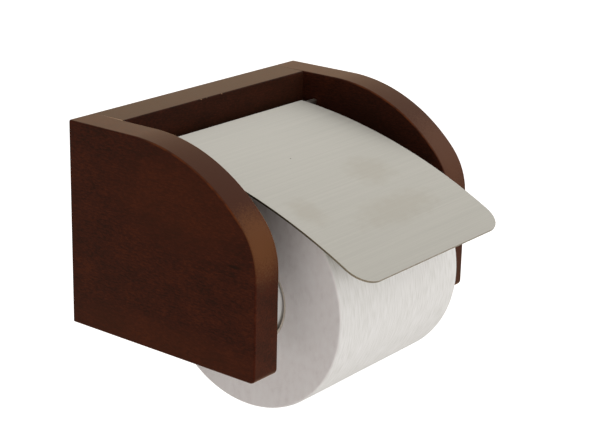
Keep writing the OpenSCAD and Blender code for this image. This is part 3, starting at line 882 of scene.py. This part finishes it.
# %% Brush strokes and place of the flap
strokes = mesh.loops.layers.uv.active or mesh.loops.layers.uv.new()
for corner in (loop for face in mesh.faces for loop in face.loops):
    corner[strokes].uv = (corner.vert.co.z / (FLAP_L * MM), corner.vert.co.x / (FLAP_L * MM))
bmesh.update_edit_mesh(flap.data)
flap.data.uv_layers.active.name = STROKES
bpy.ops.object.mode_set(mode="OBJECT")
flap.rotation_euler = (math.pi / 2 + math.radians(REST_SLOPE), 0, 0)
flap.location = (0, HINGE_Y * MM, HINGE_Z * MM)
finish_piece(flap, "curved_flap", "flap", "brushed_sheet", replaces="flap")

# %% [markdown]
# ## The paper roll
# A roll is a long sheet wound on the core. Its outer edge is soft, its ends show the layers
# as fine rings, and it is never perfectly round. Half of its section is drawn as a rectangle
# beside the axis, its outer corners are rounded, the two ends are cut into 0.8 mm steps that
# go in and out a few hundredths of a millimetre, and the outline is spun round the axis. A
# Displace modifier with a slow cloud then presses the surface in by up to 0.2 mm.
#
# The photograph hides where the sheet ends, so the loose end lies at the back of the roll. It
# is a strip of the outer layer, cut along its perforation.

# %% Paper roll
BORE_R, SOFT_EDGE, LAYER_STEP, PRESS = 23.4, 1.2, 0.03, 0.2
END_CUTS, FACE_CUTS, ROUND = 38, 20, 144

roll = plane(2 * HALF_W, ROLL_R - BORE_R,
             (ROLL_SHIFT, AXIS_Y, ROLL_Z + (ROLL_R + BORE_R) / 2), turn=(math.pi / 2, 0, 0))
choose("verts", lambda x, y, z: near(z, ROLL_Z + ROLL_R))
bpy.ops.mesh.bevel(offset=SOFT_EDGE * MM, segments=4, profile=0.5, affect="VERTICES")
choose("edges", lambda x, y, z: near(z, ROLL_Z + ROLL_R))
bpy.ops.mesh.subdivide(number_cuts=FACE_CUTS)
choose("edges", lambda x, y, z: near(abs(x - ROLL_SHIFT), HALF_W))
bpy.ops.mesh.subdivide(number_cuts=END_CUTS)
mesh = bmesh.from_edit_mesh(roll.data)
for side in (-1, 1):
    rim = sorted((v for v in mesh.verts if near(v.co.x / MM - ROLL_SHIFT, side * HALF_W)),
                 key=lambda v: v.co.z)
    for vert in rim[2:-1:2]:
        vert.co.x -= side * LAYER_STEP * MM
bmesh.update_edit_mesh(roll.data)
bpy.ops.mesh.select_all(action="SELECT")
bpy.ops.mesh.delete(type="ONLY_FACE")
bpy.ops.mesh.select_all(action="SELECT")
spin(360, ROUND, AXIS_Y, ROLL_Z)
tidy_mesh()
bpy.ops.object.mode_set(mode="OBJECT")

slow_cloud = bpy.data.textures.new("slow_cloud", "CLOUDS")
slow_cloud.noise_scale = 24 * MM
apply_modifier(roll, "DISPLACE", texture=slow_cloud, texture_coords="LOCAL", mid_level=1,
               strength=PRESS * MM)
finish_piece(roll, "wound_roll", "roll", "tissue", roll_tissue, replaces="paper_roll")

# %% Loose end of the paper
# It begins TAIL_FROM behind the top and turns down round the back to the row of torn teeth
TAIL_FROM, TAIL_TURN, TAIL_STEPS, TEETH, TOOTH = math.radians(35), 70, 16, 48, 0.8
PLY, TAIL_R, TAIL_INSET, LIFT = 0.22, ROLL_R - 0.05, 0.3, 0.1

tail = plane(2 * (HALF_W - TAIL_INSET), PLY,
             (ROLL_SHIFT, AXIS_Y + TAIL_R * math.sin(TAIL_FROM),
              ROLL_Z + TAIL_R * math.cos(TAIL_FROM)),
             turn=(math.pi / 2 - TAIL_FROM, 0, 0))
mesh = bmesh.from_edit_mesh(tail.data)
bpy.ops.mesh.select_mode(type="EDGE")
bpy.ops.mesh.select_all(action="DESELECT")
for edge in mesh.edges:
    start, stop = (v.co.x / MM for v in edge.verts)
    edge.select_set(not near(start, stop))
bpy.ops.mesh.subdivide(number_cuts=2 * TEETH - 1)
bpy.ops.mesh.select_all(action="SELECT")
spin(TAIL_TURN, TAIL_STEPS, AXIS_Y - LIFT, ROLL_Z - LIFT)
mesh = bmesh.from_edit_mesh(tail.data)
end = [v for v in mesh.verts if v.select]
places = sorted({round(v.co.x / MM, 3) for v in end})
turned = TAIL_FROM - math.pi / 2 + math.radians(TAIL_TURN)
onwards = Vector((0, -math.sin(turned), -math.cos(turned)))
for vert in end:
    if places.index(round(vert.co.x / MM, 3)) % 2:
        vert.co += onwards * TOOTH * MM
bmesh.update_edit_mesh(tail.data)
tidy_mesh()
bpy.ops.object.mode_set(mode="OBJECT")
finish_piece(tail, "loose_paper_end", "roll", "tissue", roll_tissue)

# %% [markdown]
# ## The roller's spring
# A compression spring is wound from one hard wire, with its end turns closed. Here it pushes
# the two halves of the roller apart, hidden inside them, and gets 12 mm shorter when the
# plunger is pushed in. The CAD mesh has the right coils, so a copy of it is merged and shaded
# smooth.

spring = bpy.data.objects.new("coil_spring", nodes["roller_spring"].data.copy())
bpy.context.collection.objects.link(spring)
spring.data.materials.clear()
bpy.ops.object.select_all(action="DESELECT")
spring.select_set(True)
bpy.context.view_layer.objects.active = spring
bpy.ops.object.mode_set(mode="EDIT")
bpy.ops.mesh.select_all(action="SELECT")
bpy.ops.mesh.remove_doubles(threshold=0.001 * MM)
bpy.ops.object.mode_set(mode="OBJECT")
finish_piece(spring, "coil_spring", "roller", "spring_wire", spring_steel,
             replaces="roller_spring", smooth_under=60)
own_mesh(spring)

# %% [markdown]
# ## The parts that come from the CAD
# The back board, the dowels, the rod, the roller and the core already have their real shape,
# so they keep their CAD meshes and get their finishes.

# %% Finishes on the CAD parts
for node, finish in (("back_board", board_wood_painted_shade), ("dowels", dowel_beech),
                     ("hinge_rod", rod_steel), ("roller_sleeve", roller_plastic),
                     ("roller_plunger", roller_plastic), ("paper_core", core_board)):
    nodes[node].data.materials.clear()
    nodes[node].data.materials.append(finish)
